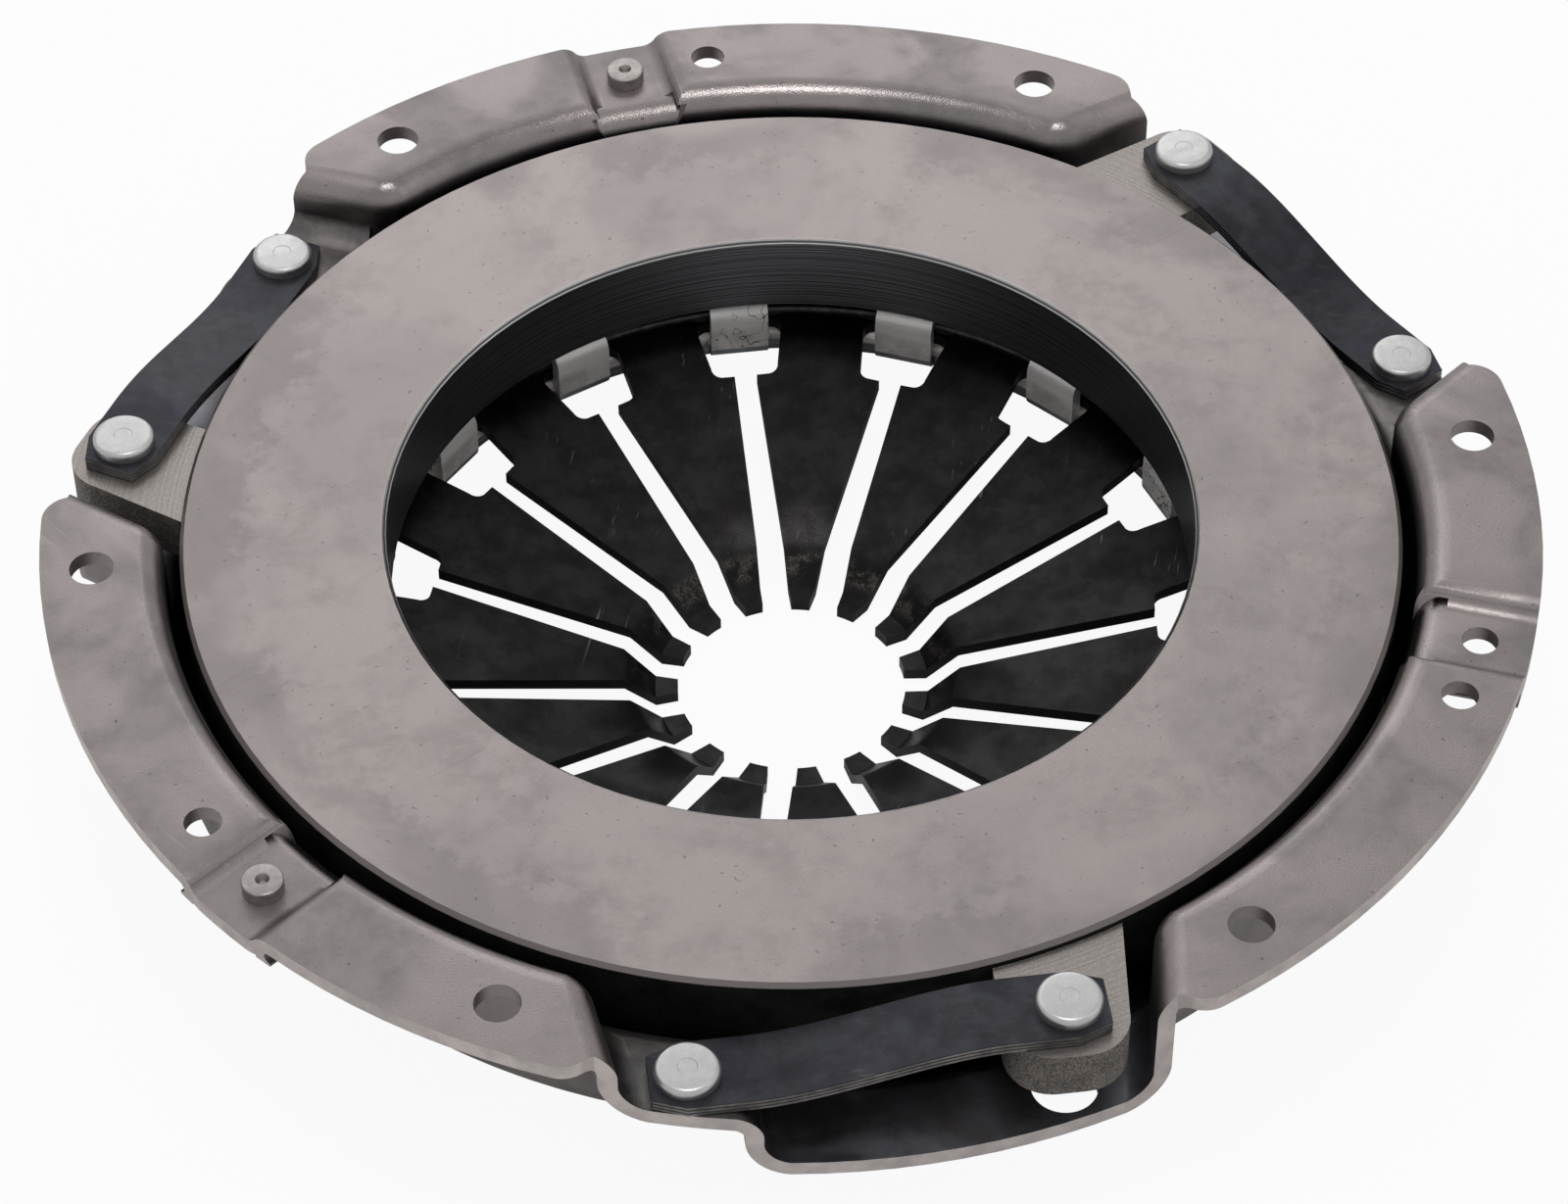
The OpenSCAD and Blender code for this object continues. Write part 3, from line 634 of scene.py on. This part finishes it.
def wire_steel():
    """The wire ring's finish."""
    f = Finish("wire_steel")
    marks = f.use(smudges, Size=90.0)
    # painted shade: the wire ring is nearly black, as the shade under the tabs
    f.set(Base_Color=f.mix(marks["Mottle"], grey(0.03), grey(0.06)), Roughness=0.35)
    return f.material


leaf_finish = blued_steel()
wire_finish = wire_steel()
print("materials", leaf_finish.name, wire_finish.name)

# %% [markdown]
# The strap rivets are zinc plated and the palest metal of all, with a faintly mottled skin. The
# balance rivets are plain steel, a little darker and warmer.


# %% Rivet steels
def rivet_steel(name, pale, dark, red):
    """A rivet's finish, between a pale and a dark grey that are reddened by a share."""
    f = Finish(name)
    marks = f.use(smudges, Size=130.0)
    blue = -red / 3
    colour = f.mix(marks["Mottle"], grey(pale, red, blue), grey(dark, red, blue))
    colour = f.lay(colour, marks["Grain"], 0.3, grey(dark * 0.8, red, blue))
    f.set(Base_Color=colour, Roughness=f.ramp(marks["Blotch"], 0, 1, 0.34, 0.42))
    f.bump(f.plus(f.times(marks["Mottle"], 0.4), marks["Grain"]), depth=0.01, strength=0.3)
    return f.material


zinc_finish = rivet_steel("zinc_plated_rivet_steel", pale=0.6, dark=0.54, red=0.01)
plain_rivet_finish = rivet_steel("plain_rivet_steel", pale=0.4, dark=0.3, red=0.08)
print("materials", zinc_finish.name, plain_rivet_finish.name)

# %% [markdown]
# ## Pieces
# A solid from the frame is a heap of loose triangles. A piece is made from a copy of it: the
# points that lie on each other are merged, so that round faces can be shaded smooth while real
# edges stay sharp. The piece then stands for the solid, which is hidden.

# %% Copy and merge a solid
MERGE_DISTANCE = 0.0005
SMOOTH_UP_TO = math.radians(32)


def select_only(obj):
    """Selects one object and nothing else, and makes it the active one."""
    bpy.ops.object.select_all(action="DESELECT")
    obj.select_set(True)
    bpy.context.view_layer.objects.active = obj


def copy_of(solid_name, piece_name):
    """A merged copy of a solid, shaded smooth except at its real edges."""
    piece = bpy.data.objects.new(piece_name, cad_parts[solid_name].data.copy())
    bpy.context.scene.collection.objects.link(piece)
    select_only(piece)
    bpy.ops.object.mode_set(mode="EDIT")
    bpy.ops.mesh.select_all(action="SELECT")
    bpy.ops.mesh.remove_doubles(threshold=mm(MERGE_DISTANCE))
    bpy.ops.object.mode_set(mode="OBJECT")
    bpy.ops.mesh.customdata_custom_splitnormals_clear()
    bpy.ops.object.shade_smooth_by_angle(angle=SMOOTH_UP_TO)
    return piece


def finish_with(piece, material, solid_name):
    """Gives a piece its material and hides the solid that it stands for."""
    piece.data.materials.clear()
    piece.data.materials.append(material)
    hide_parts(solid_name)
    print(piece.name, len(piece.data.polygons), "faces")


def extent(solid_name):
    """The lowest and the highest corner of a solid."""
    points = [v.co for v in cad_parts[solid_name].data.vertices]
    low = Vector([min(p[axis] for p in points) for axis in range(3)])
    return low, Vector([max(p[axis] for p in points) for axis in range(3)])


print("cover, highest corner in mm:", [round(value / MM, 1) for value in extent("cover")[1]])

# %% [markdown]
# The cover is pressed in several strokes from 3.2 mm sheet, then pierced and trimmed. The plate
# is cast and machined. Both keep the exact shapes of their solids.

# %% Cover and plate
cover = copy_of("cover", "pressed_cover")
finish_with(cover, steel_finish, "cover")
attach(cover, "cover")
plate = copy_of("pressure_plate", "cast_plate")
finish_with(plate, iron_finish, "pressure_plate")
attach(plate, "pressure_plate")

# %% [markdown]
# The ring that the spring tips over is one length of round wire. Its size is read from its solid:
# its height is the thickness of the wire.

# %% Wire ring
low, high = extent("fulcrum_ring")
wire_radius = (high.z - low.z) / 2
ring_radius = high.x - wire_radius
bpy.ops.object.select_all(action="DESELECT")
bpy.ops.mesh.primitive_torus_add(
    major_segments=180, minor_segments=24, major_radius=ring_radius, minor_radius=wire_radius
)
ring = bpy.context.object
ring.name = "wire_ring"
bpy.ops.object.mode_set(mode="EDIT")
bpy.ops.mesh.select_all(action="SELECT")
bpy.ops.transform.translate(value=(0, 0, (low.z + high.z) / 2))
bpy.ops.object.mode_set(mode="OBJECT")
bpy.ops.object.shade_smooth()
finish_with(ring, wire_finish, "fulcrum_ring")
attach(ring, "cover")
print("ring radius", round(ring_radius / MM, 2), "wire", round(2 * wire_radius / MM, 2), "mm")

# %% [markdown]
# ## Spring
# The fingers are punched from the disc. On the real spring their edges are also coined round,
# while the solid keeps them square. Pressing the tips tips the spring over its wire ring, so its
# rim goes down with the plate.

spring = copy_of("diaphragm_spring", "disc_spring")
finish_with(spring, spring_finish, "diaphragm_spring")
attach(spring, "cover")
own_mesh(spring)

# %% [markdown]
# ## Straps
# Three packs of three leaves drive the plate and pull it back. Each leaf is held by the cover at
# one end and by the plate at the other, and bends between the two. Each leaf is a merged copy of
# its solid, with its edges eased by a small bevel.

# %% Strap leaves
STRAPS = 3
EASED_EDGE = 0.16
FLAT_WITHIN = math.radians(0.5)
EDGE_ANGLE = math.radians(50)


def ease_edges(piece, width):
    """Joins the triangles of each flat face and bevels the edges between faces."""
    select_only(piece)
    bpy.ops.object.mode_set(mode="EDIT")
    bpy.ops.mesh.select_all(action="SELECT")
    bpy.ops.mesh.dissolve_limited(angle_limit=FLAT_WITHIN)
    bpy.ops.object.mode_set(mode="OBJECT")
    bevel = piece.modifiers.new("eased edges", "BEVEL")
    bevel.width = mm(width)
    bevel.limit_method = "ANGLE"
    bevel.angle_limit = EDGE_ANGLE
    bpy.ops.object.modifier_apply(modifier=bevel.name)
    bpy.ops.object.shade_smooth_by_angle(angle=SMOOTH_UP_TO)


for number in range(1, STRAPS + 1):
    for level in ("top", "middle", "bottom"):
        solid_name = f"strap_{number}_{level}_leaf"
        leaf = copy_of(solid_name, f"leaf_{number}_{level}")
        ease_edges(leaf, EASED_EDGE)
        finish_with(leaf, leaf_finish, solid_name)
        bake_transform(leaf)

# %% [markdown]
# ## Rivets
# A rivet starts as a headed pin, and its plain end is closed in place. Here a round disc is
# extruded and resized step by step, from the closed foot up through the shank to the head. Then
# the rim of the head is rounded by a bevel, and the small mark of the header's punch is pressed
# into its top.

# %% Rivet tools
ROUND_POINTS = 96
RIVET_SMOOTH_UP_TO = math.radians(30)


def lathe(name, steps):
    """A round body: a disc that is extruded and resized through steps of (radius, height)."""
    bpy.ops.object.select_all(action="DESELECT")
    bpy.ops.mesh.primitive_circle_add(vertices=ROUND_POINTS, radius=mm(steps[0][0]), fill_type="NGON")
    piece = bpy.context.object
    piece.name = name
    bpy.ops.object.mode_set(mode="EDIT")
    bpy.ops.mesh.select_all(action="SELECT")
    bpy.ops.transform.translate(value=mm(0, 0, steps[0][1]))
    for (radius, height), (next_radius, next_height) in zip(steps, steps[1:]):
        rise = mm(0, 0, next_height - height)
        bpy.ops.mesh.extrude_region_move(TRANSFORM_OT_translate={"value": rise})
        share = next_radius / radius
        bpy.ops.transform.resize(value=(share, share, 1))
    return piece


def closed_pin(name, solid_name, foot, taper, shank_radius, head):
    """A pin as high as its solid. Foot and head are given as (radius, height)."""
    low, high = (corner.z / MM for corner in extent(solid_name))
    foot_top = low + foot[1]
    head_bottom = high - head[1]
    steps = [(foot[0] - taper, low), (foot[0], low + taper), (foot[0], foot_top)]
    steps += [(shank_radius, foot_top), (shank_radius, head_bottom)]
    steps += [(head[0], head_bottom), (head[0], high)]
    return lathe(name, steps)


def round_rim(width, segments):
    """Bevels the edge round the face that is selected."""
    bpy.ops.mesh.region_to_loop()
    bpy.ops.mesh.bevel(offset=mm(width), segments=segments, affect="EDGES")


def press_in(piece, inset, depth, share):
    """Presses a mark into the flat top: an inset, sunk and narrowed by a share."""
    bpy.ops.mesh.select_mode(type="FACE")
    bpy.ops.mesh.select_all(action="DESELECT")
    made = bmesh.from_edit_mesh(piece.data)
    cap = max(made.faces, key=lambda face: face.calc_center_median().z)
    cap.select = True
    bmesh.update_edit_mesh(piece.data)
    bpy.ops.mesh.inset(thickness=mm(inset), depth=0)
    bpy.ops.mesh.extrude_region_move(TRANSFORM_OT_translate={"value": mm(0, 0, -depth)})
    bpy.ops.transform.resize(value=(share, share, 1))


def set_down(piece, solid_name):
    """Moves a finished rivet onto the axis of its solid, and shades it."""
    low, high = extent(solid_name)
    bpy.ops.mesh.select_all(action="SELECT")
    bpy.ops.mesh.normals_make_consistent(inside=False)
    bpy.ops.transform.translate(value=((low.x + high.x) / 2, (low.y + high.y) / 2, 0))
    bpy.ops.object.mode_set(mode="OBJECT")
    select_only(piece)
    bpy.ops.object.shade_smooth_by_angle(angle=RIVET_SMOOTH_UP_TO)


print("rivet tools ready, a round has", ROUND_POINTS, "points")

# %% [markdown]
# A strap rivet is 11.8 mm across its head and 7.9 mm across its shank. Its rim is rounded by
# 1.1 mm, and the header's punch has left a shallow round mark in the middle.

# %% Strap rivets
HEAD_RADIUS, HEAD_HEIGHT = 5.9, 2.3
SHANK_RADIUS = 3.95
FOOT_RADIUS, FOOT_HEIGHT = 5.3, 2.2
FOOT_TAPER = 0.8
RIM_WIDTH, RIM_SEGMENTS = 1.1, 8
MARK_RADIUS, MARK_DEPTH, MARK_NARROWING = 1.8, 0.1, 0.94

for number in range(1, STRAPS + 1):
    for kind, body in (("cover_rivet", "cover"), ("plate_rivet", "pressure_plate")):
        solid_name = f"{kind}_{number}"
        foot, head = (FOOT_RADIUS, FOOT_HEIGHT), (HEAD_RADIUS, HEAD_HEIGHT)
        rivet = closed_pin(f"{kind}_head_{number}", solid_name, foot, FOOT_TAPER, SHANK_RADIUS, head)
        round_rim(RIM_WIDTH, RIM_SEGMENTS)
        press_in(rivet, HEAD_RADIUS - RIM_WIDTH - MARK_RADIUS, MARK_DEPTH, MARK_NARROWING)
        set_down(rivet, solid_name)
        finish_with(rivet, zinc_finish, solid_name)
        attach(rivet, body)

# %% [markdown]
# Two rivets of plain steel fill balance holes. Each has a deep dimple in its head, and its
# underside is closed below the flange.

# %% Balance rivets
WEIGHT_RADIUS, WEIGHT_HEIGHT = 3.8, 2.8
WEIGHT_SHANK = 3.35
WEIGHT_FOOT, WEIGHT_FOOT_HEIGHT = 4.8, 1.6
WEIGHT_RIM, WEIGHT_RIM_SEGMENTS = 0.4, 4
DIMPLE_RADIUS, DIMPLE_DEPTH, DIMPLE_NARROWING = 1.3, 1.2, 0.5

for number in (1, 2):
    solid_name = f"balance_rivet_{number}"
    foot, head = (WEIGHT_FOOT, WEIGHT_FOOT_HEIGHT), (WEIGHT_RADIUS, WEIGHT_HEIGHT)
    rivet = closed_pin(f"balance_weight_{number}", solid_name, foot, FOOT_TAPER, WEIGHT_SHANK, head)
    round_rim(WEIGHT_RIM, WEIGHT_RIM_SEGMENTS)
    press_in(rivet, WEIGHT_RADIUS - WEIGHT_RIM - DIMPLE_RADIUS, DIMPLE_DEPTH, DIMPLE_NARROWING)
    set_down(rivet, solid_name)
    finish_with(rivet, plain_rivet_finish, solid_name)
    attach(rivet, "cover")

# %% [markdown]
# ## Floor, backdrop and lamps
# The photograph has a pure white background. The floor is matt white, and for the camera it
# mostly glows, so that it reads as white but keeps a faint shadow under the part.

# %% Floor
FLOOR_GAP = 0.2
FLOOR_WIDTH = 6000
GLOW_SHARE = 0.93
FLOOR_LEVEL = cad_box[0][2] - mm(FLOOR_GAP)

bpy.ops.object.select_all(action="DESELECT")
bpy.ops.mesh.primitive_plane_add(size=mm(FLOOR_WIDTH), location=(0, 0, FLOOR_LEVEL))
floor = bpy.context.object
floor.name = "studio_floor"
floor_paint = bpy.data.materials.new("studio_floor")
floor_paint.use_nodes = True
tree = floor_paint.node_tree
tree.nodes.remove(tree.nodes["Principled BSDF"])
matt = node(tree, "ShaderNodeBsdfDiffuse", Color=grey(0.9)).outputs[0]
glow = node(tree, "ShaderNodeEmission", Color=grey(1), Strength=1.0).outputs[0]
seen = node(tree, "ShaderNodeLightPath").outputs["Is Camera Ray"]
blend = node(tree, "ShaderNodeMixShader")
put(blend.inputs[0], calc(tree, "MULTIPLY", seen, GLOW_SHARE))
put(blend.inputs[1], matt)
put(blend.inputs[2], glow)
put(tree.nodes["Material Output"].inputs["Surface"], blend.outputs[0])
floor.data.materials.append(floor_paint)
print("floor at", round(FLOOR_LEVEL / MM, 1), "mm")

# %% [markdown]
# The world is the white room round the part. It is pure white where the camera looks straight at
# it. Where metal mirrors it, it is a dimmer white, so that the lamps stand out in the metal, and
# it is dimmer again as a light for matt surfaces, which keeps the shadow under the part.

# %% World
MIRRORED_LEVEL = 0.68
MATT_LEVEL = 0.5

world = bpy.data.worlds.new("studio")
bpy.context.scene.world = world
world.use_nodes = True
tree = world.node_tree
background = tree.nodes["Background"]
rays = node(tree, "ShaderNodeLightPath").outputs
direct = calc(tree, "ADD", rays["Is Camera Ray"], rays["Is Transmission Ray"], clamp=True)
lit = mixed(tree, rays["Is Glossy Ray"], grey(MATT_LEVEL), grey(MIRRORED_LEVEL))
put(background.inputs["Color"], mixed(tree, direct, lit, grey(1)))
put(background.inputs["Strength"], 1.0)
print("world", world.name, "mirrored at", MIRRORED_LEVEL)

# %% [markdown]
# Four square soft boxes light the part, all aimed at its middle. The key stands behind it on the
# left, and the fill on the right softens its shadows. The top lamp draws the bright lines on the
# bends, and the face lamp, behind the part, brightens the flat faces that the camera sees.

# %% Lamps
LAMPS = {
    "key_soft_box": {"place": (-900, 900, 1300), "size": 900, "power": 1.8},
    "fill_soft_box": {"place": (1200, -200, 900), "size": 900, "power": 0.8},
    "top_soft_box": {"place": (0, -250, 1500), "size": 350, "power": 3.4},
    "face_soft_box": {"place": (50, 1100, 680), "size": 800, "power": 1.8},
}

for name, lamp in LAMPS.items():
    light = bpy.data.lights.new(name, "AREA")
    light.size = mm(lamp["size"])
    light.energy = lamp["power"]
    made = bpy.data.objects.new(name, light)
    bpy.context.scene.collection.objects.link(made)
    made.location = mm(*lamp["place"])
    made.rotation_euler = (-made.location).to_track_quat("-Z", "Y").to_euler()
    print("lamp", name, lamp["power"], "W")

# %% [markdown]
# ## Finish
